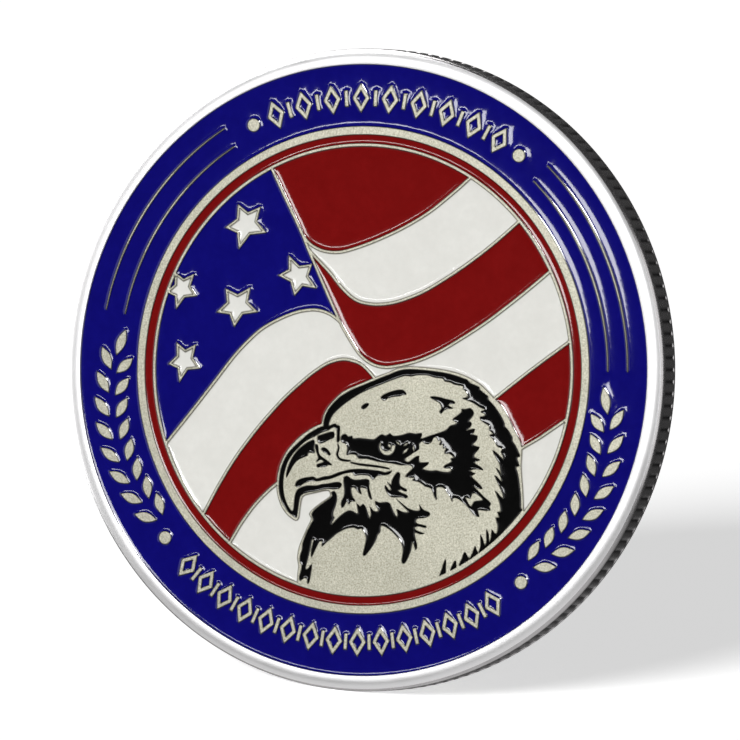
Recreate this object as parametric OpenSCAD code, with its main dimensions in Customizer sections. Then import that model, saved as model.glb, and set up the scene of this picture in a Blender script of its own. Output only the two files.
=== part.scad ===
// Challenge coin, 1.75 inch, struck in one piece and filled with coloured enamel.
// Both faces are drawn flat, x to the right and y up, and the finished coin is then
// stood on its edge: the obverse looks along -Y, the top of the design points along +Z
// and the origin is the middle of the coin. All lengths are in millimetres.

/* [Blank] */
// Outside diameter
coin_d = 44.45; // [40:0.05:50]
// Thickness over the two rims
coin_t = 3.2; // [2.8:0.1:4]
// Radius of the round between each rim and the edge
edge_round = 0.75; // [0.3:0.05:0.8]
// Width of the rim, from the border enamel to the edge
rim_w = 1.09; // [1:0.01:1.4]
// Bevel on the inner lip of the rim
rim_bevel = 0.08; // [0.02:0.01:0.15]

/* [Relief] */
// How far the raised design lies below the rim
relief_drop = 0.08; // [0.04:0.01:0.3]
// Depth of the enamel cells below the raised design
cell_depth = 0.45; // [0.3:0.01:0.6]
// How far the cured enamel lies below the raised design
enamel_drop = 0.13; // [0.05:0.01:0.25]
// Width of the raised lines between two enamel cells
line_w = 0.2; // [0.14:0.01:0.3]

/* [Border] */
// Radius where the border enamel meets the raised ring
ring_r = 16.85; // [16.6:0.01:17]
// Outer radius of the narrow enamel ring
narrow_out_r = 16.27; // [16.1:0.01:16.4]
// Inner radius of the narrow enamel ring
narrow_in_r = 15.67; // [15.6:0.01:15.9]
// Radius of the picture inside the last raised line
scene_r = 15.45; // [15.3:0.01:15.5]
// Radius of the circle on which the dots and ornaments sit
band_r = 18.8; // [18.5:0.05:19.2]
// Radius of each raised dot
dot_r = 0.46; // [0.3:0.02:0.6]
// Angle of the upper dots from the top of the design
upper_dot_a = 31.9; // [28:0.1:34]
// Angle of the lower dots from the top of the design
lower_dot_a = 134.7; // [132:0.1:138]
// Number of lozenges in the upper row
upper_lozenges = 9; // [5:2:9]
// Number of lozenges in the lower row
lower_lozenges = 15; // [9:2:15]
// Angle between two lozenges of the upper row
upper_pitch_a = 6.6; // [5.4:0.05:6.6]
// Angle between two lozenges of the lower row
lower_pitch_a = 5.35; // [4.9:0.05:5.4]
// Height of each lozenge along the radius
lozenge_h = 2.05; // [1.4:0.05:2.3]
// Width of each lozenge along the band
lozenge_w = 1.3; // [0.9:0.05:1.4]
// Thickness of the raised outline of a lozenge
lozenge_line = 0.27; // [0.2:0.01:0.35]
// Leaves along each side of a laurel branch
leaves = 8; // [4:1:8]
// Width of the widest leaf
leaf_w = 0.68; // [0.5:0.02:0.8]
// Radius of the inner long arc
arc_in_r = 18.2; // [17.9:0.02:18.4]
// Radius of the outer long arc
arc_out_r = 19.66; // [19.3:0.02:19.9]
// Angle from the top at which the long arcs start
arc_start_a = 38; // [36:0.2:44]
// Angle from the top at which the long arcs end
arc_end_a = 84; // [76:0.2:86]
// Width of the long raised arcs
arc_w = 0.15; // [0.1:0.01:0.25]

/* [Flag] */
// Thickness of the raised outline of each star
star_line = 0.17; // [0.12:0.01:0.25]

/* [Reverse] */
// Radius of the large star on the reverse, over its points
reverse_star_r = 10.5; // [7:0.1:12]
// Width of the raised outline of the large star
reverse_star_line = 0.6; // [0.4:0.05:1]
// Number of raised beads round the reverse
reverse_beads = 72; // [36:2:90]
// Radius of each bead
bead_r = 0.36; // [0.2:0.02:0.42]
// Radius of the circle on which the beads sit
bead_ring_r = 14.4; // [13.4:0.05:14.8]
// Width of the raised lip between the sunk field and the narrow ring
reverse_lip_w = 0.22; // [0.15:0.01:0.3]

/* [Hidden] */

// The picture is drawn for a coin of this diameter and grows or shrinks with the coin.
drawn_d = 44.45;
art = coin_d / drawn_d;
coin_r = coin_d / 2;
face_z = coin_t / 2;
relief_z = face_z - relief_drop;
floor_z = relief_z - cell_depth;
enamel_h = cell_depth - enamel_drop;
border_r = coin_r - rim_w;
round_n = 10;
ring_fn = 180;
sliver_w = 0.04;
ink_gap = 0.14;
arc_steps = 10;
far = 30;
clear = 1;

silver = [0.83, 0.83, 0.80];
blue = [0.05, 0.05, 0.38];
red = [0.46, 0.03, 0.03];
white = [0.90, 0.89, 0.87];
black = [0.02, 0.02, 0.02];

// ---------------------------------------------------------------- curves

// One point of the curve that runs smoothly through b and c, with a and d beyond them.
function curve_point(a, b, c, d, t) =
    0.5 * (2 * b + (c - a) * t + (2 * a - 5 * b + 4 * c - d) * t * t
        + (3 * b - a - 3 * c + d) * t * t * t);

// A smooth closed outline through the points p, with n steps from each to the next.
function loop(p, n = 2) = [
    for (i = [0 : len(p) - 1])
        for (j = [0 : n - 1])
            curve_point(
                p[(i + len(p) - 1) % len(p)], p[i],
                p[(i + 1) % len(p)], p[(i + 2) % len(p)], j / n
            )
];

// A smooth open curve through the points p, ends included.
function curve(p, n = 4) = concat(
    [
        for (i = [0 : len(p) - 2])
            for (j = [0 : n - 1])
                curve_point(
                    p[max(i - 1, 0)], p[i], p[i + 1], p[min(i + 2, len(p) - 1)], j / n
                )
    ],
    [p[len(p) - 1]]
);

// The point at radius r and angle a, measured clockwise from the top of the design.
function polar(r, a) = [r * sin(a), r * cos(a)];

// Direction square to a curve at its point i, one unit long.
function square_to(p, i) =
    let (d = p[min(i + 1, len(p) - 1)] - p[max(i - 1, 0)])
    [-d[1], d[0]] / norm(d);

// A line of width w drawn along the points p, tapered towards both ends.
module stroke(p, w) {
    n = len(p) - 1;
    half = [for (i = [0 : n]) w / 2 * (0.45 + 0.55 * sin(180 * i / n))];
    polygon(concat(
        [for (i = [0 : n]) p[i] + square_to(p, i) * half[i]],
        [for (i = [n : -1 : 0]) p[i] - square_to(p, i) * half[i]]
    ));
}

// ---------------------------------------------------------------- border motifs

// Almond leaf of length l and width w, pointing along +y.
module leaf(l, w) {
    polygon(concat(
        [for (i = [0 : 6]) [w / 2 * sin(180 * i / 6), l * (i / 6 - 0.5)]],
        [for (i = [5 : -1 : 1]) [-w / 2 * sin(180 * i / 6), l * (i / 6 - 0.5)]]
    ));
}

// Puts its children at radius r and angle a, turned outwards by tilt.
module on_band(r, a, tilt = 0) {
    translate(polar(r, a)) rotate(-a - tilt) children();
}

// Leaves down one side of a branch, on a line that bulges outwards halfway.
module leaf_row(r, bulge, start_a, pitch_a, first_turn, turn_step, l) {
    for (i = [0 : leaves - 1])
        on_band(
            r + bulge * sin(180 * i / (leaves - 1)), start_a + pitch_a * i,
            first_turn + turn_step * i
        )
            leaf(l, leaf_w);
}

// Half of the laurel: one leaf on top, then a row down each side of the branch.
module laurel_branch() {
    on_band(r = 18.17, a = 90.3, tilt = -106) leaf(l = 1.95, w = leaf_w);
    leaf_row(
        r = 19.18, bulge = 0.64, start_a = 93.9, pitch_a = 4.96,
        first_turn = -64, turn_step = 2.6, l = 1.75
    );
    leaf_row(
        r = 17.8, bulge = 0.52, start_a = 95.4, pitch_a = 4.64,
        first_turn = -139, turn_step = 5, l = 1.62
    );
}

module lozenge_outline() {
    polygon([[0, lozenge_h / 2], [lozenge_w / 2, 0], [0, -lozenge_h / 2], [-lozenge_w / 2, 0]]);
}

// Open lozenge with its long axis along the radius.
module lozenge() {
    difference() {
        lozenge_outline();
        offset(delta = -lozenge_line) lozenge_outline();
    }
}

// A row of n open lozenges with a short bar between each two, centred on angle a.
module ornament_row(n, a, pitch) {
    for (i = [0 : n - 1])
        on_band(band_r, a + (i - (n - 1) / 2) * pitch) lozenge();
    for (i = [0 : n - 2])
        on_band(band_r, a + (i - (n - 2) / 2) * pitch)
            square([lozenge_line, lozenge_h * 0.55], center = true);
}

// The two long arcs beside the upper row, on the right.
module border_arcs() {
    span_a = arc_end_a - arc_start_a;
    for (r = [arc_in_r, arc_out_r])
        stroke([for (i = [0 : arc_steps]) polar(r, arc_start_a + span_a * i / arc_steps)], arc_w);
}

// The drawn figures that stand up inside the border enamel.
module border_figures() {
    for (side = [0, 1])
        mirror([side, 0]) {
            laurel_branch();
            border_arcs();
        }
    ornament_row(upper_lozenges, 0, upper_pitch_a);
    ornament_row(lower_lozenges, 180, lower_pitch_a);
}

// The four round dots at the ends of the two ornament rows.
module border_dots() {
    for (a = [upper_dot_a, lower_dot_a, -upper_dot_a, -lower_dot_a])
        translate(polar(band_r, a)) circle(r = dot_r, $fn = 32);
}

// ---------------------------------------------------------------- flag

// Hoist edge of the stripes, which runs on as the lower edge of the middle red stripe.
hoist = curve([
    [-9.4, 14.9], [-7.0, 11.2], [-5.55, 8.98], [-4.9, 7.85], [-4.0, 6.35], [-3.0, 4.72],
    [-2.0, 3.12], [-1.45, 2.38], [-0.85, 1.64], [-0.3, 1.07], [0.3, 0.67], [0.9, 0.45],
    [1.5, 0.38], [2.2, 0.47], [3.85, 1.0], [5.45, 1.83], [7.05, 2.93], [8.7, 4.2],
    [10.3, 5.6], [11.9, 7.1], [13.3, 8.5], [15.2, 10.6]
]);
// Lower edge of the upper red stripe.
upper_red_low = curve([
    [-6.1, 9.6], [-5.5, 8.85], [-5.1, 8.45], [-4.6, 8.12], [-3.7, 7.86], [-2.5, 7.93],
    [-1.0, 8.5], [0.6, 9.3], [2.2, 10.25], [3.85, 11.45], [5.45, 12.95], [6.6, 14.15], [8, 15.7]
]);
// Lower edge of the upper white stripe.
upper_white_low = curve([
    [-5.4, 8.3], [-4.8, 7.78], [-4.1, 7.2], [-3.05, 6.35], [-2.0, 5.38], [-1.0, 4.76],
    [0, 4.6], [1.0, 4.68], [2.2, 5.02], [3.85, 5.82], [5.45, 6.93], [7.05, 8.2],
    [8.7, 9.68], [10.4, 11.4], [12, 13.1]
]);
// Lower edge of the canton.
canton_low = curve([
    [-16.2, -9.8], [-14.0, -6.65], [-12.45, -4.4], [-10.95, -2.15], [-9.6, -0.1],
    [-8.5, 1.25], [-7.6, 2.12], [-6.4, 2.9], [-5.2, 3.47], [-4.0, 3.75], [-3.0, 3.64],
    [-2.1, 3.2], [-1.5, 2.6]
]);
// Upper edge of the lower left red stripe, down to its tip beside the head.
left_red_high = curve([
    [-11.9, -13.9], [-10.67, -11.2], [-9.75, -9.1], [-8.7, -7.05], [-7.35, -4.92],
    [-6.1, -3.25], [-5.4, -2.4], [-4.47, -1.42], [-3.6, -0.58], [-2.6, 0.17], [-1.55, 0.57],
    [-0.6, 0.53], [0.0, 0.33], [0.5, -0.02], [1.05, -0.52], [1.6, -1.1]
]);
// Lower edge of the same stripe.
left_red_low = curve([
    [-9.4, -14.6], [-8.47, -12.95], [-7.8, -11.6], [-7.0, -10.3], [-6.25, -9.35],
    [-5.5, -8.58], [-4.6, -7.8]
]);
// Upper edge of the lower right red stripe.
right_red_high = curve([
    [9.2, -1.6], [10.1, -0.78], [11.05, 0.1], [12.7, 1.6], [15.1, 3.68], [17, 5.4]
]);
// Lower edge of the same stripe.
right_red_low = curve([
    [11.6, -4.6], [12.5, -3.95], [13.5, -3.25], [14.3, -2.62], [15.4, -1.72], [17, -0.4]
]);

// Area below and to the left of the hoist curve.
module left_of_hoist() {
    polygon(concat(hoist, [[far, far], [far, -far], [-far, -far], [-far, far]]));
}

// Area above a curve that runs from left to right.
module above(line) {
    polygon(concat(line, [[far, line[len(line) - 1][1]], [far, far], [-far, far], [-far, line[0][1]]]));
}

// Area to the lower right of a curve that runs from lower left to upper right.
module right_of(line) {
    polygon(concat(line, [[far, line[len(line) - 1][1]], [far, -far], [line[0][0], -far]]));
}

// Trims an area to the picture, leaves the raised lines and takes the eagle out of it.
module flag_cell() {
    offset(delta = -line_w / 2)
        difference() {
            intersection() {
                circle(r = scene_r + line_w / 2, $fn = ring_fn);
                children();
            }
            offset(delta = -line_w / 2) eagle_shape();
        }
}

// The five points of each star, clockwise from the upper left one. The cloth waves, so
// no two stars are alike.
STARS = [
    [[-10.5, 10.42], [-8.78, 10.42], [-8.15, 8.65], [-10.08, 7.28], [-11.28, 8.68]],
    [[-6.32, 7.28], [-4.5, 6.88], [-3.98, 5.22], [-5.58, 4.52], [-6.98, 5.82]],
    [[-10.78, 4.5], [-8.92, 4.78], [-8.15, 3.12], [-9.82, 1.88], [-11.28, 2.76]],
    [[-14.68, 5.22], [-13.2, 5.25], [-12.85, 3.72], [-14.3, 2.62], [-15.2, 3.75]],
    [[-14.02, 0.38], [-12.55, 0.4], [-12.02, -1.25], [-13.5, -2.4], [-14.48, -1.2]]
];

// Star with valleys between the tips, pulled in towards the middle.
module star(tips, valley = 0.63) {
    middle = (tips[0] + tips[1] + tips[2] + tips[3] + tips[4]) / 5;
    polygon([
        for (i = [0 : 4])
            for (k = [0, 1])
                k == 0 ? tips[i]
                    : middle + valley * ((tips[i] + tips[(i + 1) % 5]) / 2 - middle)
    ]);
}

module star_outline(i) {
    star(STARS[i]);
}

module star_cell(i) {
    offset(delta = -star_line) star_outline(i);
}

module canton_area() {
    intersection() {
        left_of_hoist();
        above(canton_low);
        translate([-far, -far]) square([far - 1, 2 * far]);
    }
}

module canton_cell() {
    difference() {
        flag_cell() canton_area();
        for (i = [0 : len(STARS) - 1])
            star_outline(i);
    }
}

module upper_red_cell() {
    flag_cell()
        difference() {
            above(upper_red_low);
            left_of_hoist();
        }
}

module upper_white_cell() {
    flag_cell()
        difference() {
            above(upper_white_low);
            above(upper_red_low);
            left_of_hoist();
        }
}

module middle_red_cell() {
    flag_cell()
        difference() {
            square(2 * far, center = true);
            above(upper_white_low);
            left_of_hoist();
        }
}

module left_red_area() {
    difference() {
        right_of(left_red_high);
        right_of(left_red_low);
        translate([1.2, -far]) square([far, 2 * far]);
    }
}

module right_red_area() {
    difference() {
        right_of(right_red_high);
        right_of(right_red_low);
    }
}

module left_red_cell() {
    flag_cell() left_red_area();
}

module right_red_cell() {
    flag_cell() right_red_area();
}

module middle_white_cell() {
    flag_cell()
        difference() {
            left_of_hoist();
            canton_area();
            right_of(left_red_high);
            right_of(right_red_high);
        }
}

module left_white_cell() {
    flag_cell()
        difference() {
            right_of(left_red_low);
            translate([-1, -far]) square([far, 2 * far]);
        }
}

module right_white_cell() {
    flag_cell() right_of(right_red_low);
}

// ---------------------------------------------------------------- eagle

// Outline of the head and neck, the raised line round the black included.
EAGLE = loop([
    [1.0, -0.42], [1.5, -0.17], [2.0, 0.07], [2.5, 0.35], [3.0, 0.53], [3.6, 0.64], [5, 0.7],
    [6.2, 0.68], [7.2, 0.56], [8.0, 0.34], [8.8, 0.02], [9.4, -0.38], [10.05, -0.88],
    [10.45, -1.15], [10.87, -1.6], [11.27, -2.16], [11.67, -2.76], [12.07, -3.32],
    [12.36, -3.85], [12.45, -4.4], [12.48, -5.1], [12.58, -5.8], [12.74, -6.6],
    [12.88, -7.4], [13.0, -8.2], [13.2, -9.2], [13, -12], [8, -15], [2, -17], [-2.6, -17],
    [-3.1, -15.3], [-3.2, -14.6], [-3.2, -14.0], [-3.34, -13.5], [-3.33, -12.9],
    [-3.22, -12.4], [-3.02, -11.8], [-2.85, -11.3], [-2.68, -10.9], [-2.62, -10.6],
    [-2.8, -10.35], [-2.62, -10.05], [-2.3, -9.72], [-1.9, -9.38], [-1.5, -9.06],
    [-1.38, -8.88], [-1.5, -8.6], [-1.8, -8.6], [-2.6, -8.86], [-3.1, -9.02], [-3.4, -9.2],
    [-3.5, -9.6], [-3.52, -10.2], [-3.56, -10.75], [-3.75, -10.9], [-4.05, -10.8],
    [-4.45, -10.55], [-4.85, -10.15], [-5.15, -9.65], [-5.36, -9.1], [-5.45, -8.5],
    [-5.45, -7.9], [-5.38, -7.35], [-5.2, -6.75], [-4.92, -6.15], [-4.5, -5.57],
    [-4.1, -5.1], [-3.7, -4.75], [-3.25, -4.4], [-2.85, -4.15], [-2.58, -4.0],
    [-2.53, -3.6], [-2.42, -3.2], [-2.22, -2.8], [-1.95, -2.42], [-1.62, -2.02],
    [-1.27, -1.68], [-0.87, -1.4], [-0.35, -1.12], [0.2, -0.84], [0.6, -0.62]
]);

module eagle_shape() {
    polygon(EAGLE);
}

// Joins black markings, trims them to the picture and drops slivers thinner than sliver_w.
module ink() {
    offset(delta = sliver_w / 2)
        offset(delta = -sliver_w / 2)
            intersection() {
                circle(r = scene_r - ink_gap, $fn = ring_fn);
                children();
            }
}

// Band over the forehead, crown and nape, with the ragged feathers on its inner side.
CROWN = loop([
    [-2.4, -4.25], [-2.38, -3.6], [-2.2, -3.07], [-1.98, -2.7], [-1.7, -2.36],
    [-1.42, -2.05], [-1.1, -1.8], [-0.5, -1.4], [0.2, -1.05], [1.0, -0.63], [1.5, -0.37],
    [2.0, -0.13], [2.57, 0.17], [3.0, 0.33], [3.5, 0.43], [4.2, 0.48], [5, 0.5], [6, 0.48],
    [7.0, 0.38], [7.93, 0.14], [8.03, 0.0], [8.8, -0.2], [8.82, -0.36], [9.5, -0.76],
    [9.5, -0.93], [9.93, -1.28], [10.33, -1.67], [10.67, -2.07], [10.95, -2.5],
    [10.93, -2.65], [11.27, -2.93], [11.63, -3.4], [11.64, -3.6], [11.93, -3.93],
    [12.15, -4.27], [12.32, -4.6], [12.1, -4.74], [12.35, -5.25], [12.1, -5.35],
    [12.25, -5.7], [12.4, -6.13], [12.52, -6.6], [12.63, -7.07], [12.73, -7.6],
    [12.8, -8.13], [13.1, -9.2], [10.25, -12.2], [10.12, -10.95], [10.03, -10.33],
    [10.25, -10.65], [10.42, -11.0], [10.52, -10.75], [10.42, -9.9], [10.62, -10.25],
    [10.72, -10.75], [10.82, -10.4], [10.82, -9.88], [11.0, -10.03], [11.2, -10.12],
    [11.25, -9.8], [11.2, -9.45], [11.03, -9.02], [11.28, -8.97], [11.1, -8.6],
    [11.33, -8.6], [11.25, -8.15], [11.08, -7.72], [10.78, -7.2], [11.05, -7.38],
    [11.42, -7.66], [11.3, -7.25], [11.12, -6.95], [11.0, -6.75], [10.62, -6.14],
    [10.85, -6.25], [11.17, -6.5], [11.08, -6.2], [10.67, -5.63], [10.9, -5.78],
    [11.12, -6.1], [10.98, -5.62], [10.88, -5.3], [10.6, -4.9], [10.27, -4.43],
    [10.65, -4.62], [11.13, -4.98], [11.05, -4.7], [10.9, -4.45], [10.98, -4.2],
    [10.6, -4.12], [10.35, -3.76], [9.95, -3.4], [10.2, -3.28], [9.85, -3.02],
    [9.87, -2.8], [9.5, -2.62], [9.2, -2.45], [9.1, -2.25], [9.42, -2.15], [9.4, -1.97],
    [9.12, -1.87], [9.42, -1.7], [9.0, -1.57], [8.6, -1.38], [8.2, -1.24], [7.65, -1.1],
    [8.0, -1.03], [8.03, -0.85], [7.85, -0.6], [7.63, -0.45], [7.58, -0.25], [7.0, -0.23],
    [6.6, -0.1], [6.2, -0.08], [6.05, 0.1], [5.4, 0.1], [5.0, 0.19], [4.5, 0.17],
    [4.0, 0.08], [3.7, -0.02], [3.3, -0.02], [2.97, -0.13], [2.3, -0.43], [1.63, -0.77],
    [0.97, -1.1], [0.3, -1.47], [-0.2, -1.8], [-0.8, -2.27], [-1.2, -2.63],
    [-1.53, -2.97], [-1.77, -3.27], [-1.93, -3.6], [-2.02, -3.93], [-2.05, -4.25]
]);

// Band round the outside of the beak, from the forehead to the hook and back to the gape.
BEAK_BAND = loop([
    [-2.42, -4.2], [-2.75, -4.34], [-3.13, -4.6], [-3.53, -4.9], [-3.87, -5.25],
    [-4.27, -5.67], [-4.67, -6.13], [-4.95, -6.6], [-5.13, -7.07], [-5.24, -7.5],
    [-5.28, -7.93], [-5.28, -8.47], [-5.22, -8.93], [-5.07, -9.4], [-4.87, -9.8],
    [-4.6, -10.13], [-4.37, -10.37], [-4.07, -10.55], [-3.8, -10.68], [-3.7, -10.6],
    [-3.67, -10.1], [-3.65, -9.6], [-3.6, -9.23], [-3.47, -9.05], [-3.13, -8.88],
    [-2.47, -8.68], [-1.8, -8.46], [-1.5, -8.42], [-1.2, -8.42], [-0.75, -8.3],
    [-0.62, -8.0], [-0.9, -7.92], [-1.2, -7.97], [-1.6, -8.1], [-2.07, -8.2],
    [-2.5, -8.35], [-3.13, -8.42], [-3.6, -8.6], [-3.85, -8.8], [-3.97, -9.1],
    [-4.0, -9.5], [-4.0, -10.13], [-4.08, -10.3], [-4.22, -10.22], [-4.47, -9.93],
    [-4.7, -9.53], [-4.87, -9.07], [-4.97, -8.53], [-4.99, -8.0], [-4.93, -7.47],
    [-4.8, -6.93], [-4.53, -6.4], [-4.13, -5.87], [-3.6, -5.33], [-3.0, -4.95],
    [-2.5, -4.62], [-2.05, -4.42], [-1.75, -4.2], [-1.5, -4.2], [-1.38, -4.35],
    [-1.33, -4.75], [-1.28, -5.15], [-1.13, -5.05], [-1.16, -4.53], [-1.2, -4.05],
    [-1.42, -4.02], [-1.55, -3.92], [-1.8, -4.02], [-2.05, -4.15]
]);

// Long shadow along the top of the beak.
BEAK_STREAK = loop([
    [-3.07, -5.22], [-3.6, -5.55], [-4.07, -6.0], [-4.4, -6.47], [-4.63, -7.0],
    [-4.78, -7.6], [-4.77, -8.02], [-4.58, -7.6], [-4.37, -7.13], [-4.13, -6.8],
    [-3.8, -6.55], [-3.37, -6.33], [-3.33, -6.1], [-2.88, -6.1], [-2.95, -5.8], [-2.95, -5.4]
]);

// Dark skin over the nostril.
BEAK_SKIN = loop([
    [-2.76, -4.95], [-2.47, -4.8], [-2.07, -4.62], [-1.62, -4.5], [-1.55, -4.85],
    [-1.85, -5.03], [-2.2, -5.25], [-2.5, -5.38], [-2.68, -5.3]
]);

// Nostril.
NOSTRIL = loop([
    [-2.4, -5.78], [-2.25, -5.65], [-2.0, -5.72], [-1.8, -5.88], [-1.66, -6.08],
    [-1.8, -6.12], [-2.0, -6.0], [-2.2, -5.95]
]);

// Fold that curls down behind the nostril.
BEAK_FOLD = loop([
    [-2.88, -5.55], [-2.68, -5.55], [-2.6, -5.93], [-2.47, -6.2], [-2.13, -6.4],
    [-1.8, -6.57], [-1.5, -6.78], [-1.8, -6.8], [-1.9, -6.92], [-2.33, -7.0],
    [-2.55, -7.05], [-2.6, -6.88], [-2.3, -6.75], [-2.1, -6.6], [-2.4, -6.5],
    [-2.7, -6.72], [-2.55, -6.45], [-2.62, -6.23], [-2.77, -5.93]
]);

// Gape, the dark line between the upper and the lower bill.
GAPE = loop([
    [-4.05, -8.5], [-3.95, -8.2], [-3.6, -7.97], [-3.15, -7.84], [-2.75, -7.76],
    [-2.5, -7.86], [-2.05, -7.68], [-1.5, -7.53], [-1.0, -7.28], [-0.45, -7.07],
    [0.0, -6.93], [0.7, -6.82], [1.4, -6.8], [2.1, -6.8], [2.5, -6.85], [3.0, -6.68],
    [2.75, -6.95], [2.3, -7.05], [1.95, -7.12], [1.65, -7.42], [1.35, -7.2],
    [0.7, -7.2], [0.3, -7.3], [0.1, -7.12], [-0.1, -7.14], [-0.5, -7.25],
    [-0.95, -7.47], [-1.5, -7.73], [-2.07, -7.9], [-2.5, -8.02], [-2.85, -8.02],
    [-3.4, -8.25], [-3.8, -8.55]
]);

// Line along the upper bill, and the soft edge of the skin above it.
module gape_lines() {
    stroke(curve([[-0.1, -6.45], [0.5, -6.5], [1.2, -6.5], [2.0, -6.5], [2.8, -6.55]], 4), 0.12);
    stroke(curve([[-1.2, -5.3], [-1.12, -5.6], [-1.18, -6.0], [-0.95, -6.3], [-0.45, -6.36],
        [-0.15, -6.32]], 4), 0.13);
}

// Dark stripe through the eye that runs back into the ragged patch over the ear.
EYE_STRIPE = loop([
    [-1.0, -4.75], [-0.85, -4.58], [-0.65, -4.58], [-0.5, -4.72], [-0.22, -4.62],
    [-0.15, -4.8], [0.3, -4.72], [1.0, -4.7], [1.45, -4.67], [1.75, -4.42], [2.0, -4.27],
    [2.3, -4.33], [2.57, -4.13], [2.8, -4.27], [3.3, -4.2], [3.7, -4.05], [4.0, -3.94],
    [4.5, -3.94], [4.88, -3.85], [4.93, -4.02], [4.85, -4.22], [5.1, -4.17],
    [5.6, -3.93], [6.2, -3.68], [6.7, -3.42], [6.95, -3.12], [7.4, -2.93], [7.38, -2.8],
    [7.1, -2.65], [7.35, -2.4], [7.7, -2.07], [7.67, -1.88], [7.95, -1.84], [8.25, -1.74],
    [8.48, -1.84], [8.59, -2.08], [8.47, -2.35], [8.27, -2.62], [8.5, -2.72],
    [8.45, -2.98], [8.15, -3.3], [8.5, -3.18], [8.8, -3.12], [8.68, -3.42],
    [8.45, -3.52], [9.03, -3.56], [8.96, -3.93], [8.73, -4.24], [9.27, -4.33],
    [9.07, -4.67], [8.92, -5.05], [9.42, -5.18], [8.97, -5.4], [9.4, -5.62],
    [9.72, -5.84], [9.25, -5.83], [8.7, -6.0], [9.17, -6.17], [8.87, -6.37],
    [9.4, -6.75], [9.82, -7.12], [9.5, -7.13], [9.07, -6.98], [9.4, -7.25],
    [9.95, -7.66], [10.55, -8.07], [10.42, -8.3], [10.56, -8.55], [9.95, -8.6],
    [9.6, -8.65], [9.8, -9.07], [9.45, -9.0], [9.2, -8.8], [8.8, -8.43], [8.33, -8.14],
    [8.0, -8.0], [7.68, -8.02], [7.7, -8.3], [7.5, -7.95], [7.2, -7.65], [7.0, -7.42],
    [6.4, -7.42], [6.53, -8.25], [6.3, -8.0], [6.05, -7.55], [5.6, -7.45], [5.1, -7.2],
    [4.6, -7.14], [4.75, -6.95], [4.07, -6.95], [4.3, -6.6], [4.55, -6.27],
    [4.2, -6.12], [3.6, -6.2], [3.0, -6.15], [2.0, -6.15], [1.0, -6.05], [0.45, -6.1],
    [0.2, -5.87], [-0.25, -5.88], [-0.47, -5.95], [-0.47, -5.5], [-0.6, -5.2],
    [-0.85, -5.15], [-1.0, -5.0]
]);

// Bare cheek inside the ring that the stripe makes with the ear patch.
CHEEK = loop([
    [5.02, -4.38], [5.2, -4.5], [5.5, -4.5], [5.72, -4.3], [5.82, -4.05], [6.05, -3.98],
    [6.2, -4.22], [6.42, -4.15], [6.32, -4.5], [6.57, -4.4], [6.62, -4.7], [6.85, -4.6],
    [6.75, -5.02], [7.1, -5.0], [7.5, -5.25], [7.25, -5.35], [7.35, -5.55],
    [6.85, -5.88], [6.87, -6.03], [7.35, -6.0], [7.3, -6.28], [6.7, -6.32],
    [6.3, -6.28], [5.9, -6.35], [5.25, -6.3], [5.5, -6.02], [5.65, -5.78],
    [4.95, -5.88], [4.9, -5.42], [4.55, -5.6], [4.2, -5.92], [3.92, -5.9],
    [3.87, -5.72], [4.2, -5.45], [4.5, -5.2], [4.83, -4.95], [4.8, -4.6]
]);

// Pale down inside the ear patch.
EAR_DOWN = loop([
    [9.12, -7.5], [9.55, -7.6], [9.95, -7.88], [9.65, -8.0], [9.3, -8.1], [9.15, -8.45],
    [8.95, -8.35], [8.75, -8.08], [8.6, -7.85], [9.0, -7.9]
]);

// Raised crescent below the pupil, the glint in it and three small feathers behind it.
module eye_metal() {
    intersection() {
        difference() {
            translate([2.47, -5.06]) circle(r = 0.6, $fn = 40);
            translate([2.38, -4.96]) circle(r = 0.4, $fn = 40);
        }
        polygon([[1.6, -4.75], [2.4, -4.95], [3.3, -4.85], [3.3, -6], [1.6, -6]]);
    }
    translate([2.63, -4.98]) rotate(35) leaf(0.36, 0.2);
    translate([3.25, -4.73]) rotate(58) leaf(0.5, 0.14);
    translate([3.82, -4.75]) rotate(-52) leaf(0.46, 0.15);
    translate([3.85, -5.2]) rotate(-40) leaf(0.62, 0.2);
    translate([4.43, -4.95]) rotate(12) leaf(0.5, 0.15);
}

// Three flecks on the crown.
CROWN_DOT = loop([
    [0.25, -2.58], [0.4, -2.37], [0.65, -2.25], [0.78, -2.3], [0.65, -2.5], [0.42, -2.67]
]);
CROWN_STREAK = loop([
    [1.63, -1.7], [1.9, -1.47], [2.3, -1.27], [2.77, -1.1], [3.17, -1.05], [3.4, -1.18],
    [3.45, -1.32], [3.2, -1.36], [2.97, -1.47], [2.5, -1.57], [2.17, -1.7], [1.92, -1.9],
    [1.7, -1.84]
]);
CROWN_FLECK = loop([
    [5.27, -1.3], [5.43, -1.24], [6.0, -1.24], [6.4, -1.3], [7.0, -1.37], [7.13, -1.52],
    [6.75, -1.6], [6.62, -1.72], [7.02, -1.87], [6.6, -1.95], [6.35, -2.12],
    [6.2, -2.33], [6.07, -2.2], [6.2, -1.95], [6.1, -1.73], [5.9, -1.57], [5.5, -1.42]
]);

// Forked mark behind the gape.
CHEEK_MARK = loop([
    [3.48, -6.72], [3.63, -6.85], [3.63, -7.33], [3.77, -7.65], [4.23, -7.83],
    [4.17, -7.97], [3.77, -7.88], [3.6, -7.98], [3.83, -8.1], [4.23, -8.2], [4.37, -8.3],
    [4.23, -8.43], [3.9, -8.38], [3.43, -8.45], [3.1, -8.44], [2.83, -8.22],
    [2.63, -7.93], [2.63, -7.72], [2.85, -7.95], [3.05, -8.05], [3.05, -7.88],
    [2.75, -7.48], [3.05, -7.68], [3.07, -7.4], [3.17, -7.13], [3.32, -6.85]
]);

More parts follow.
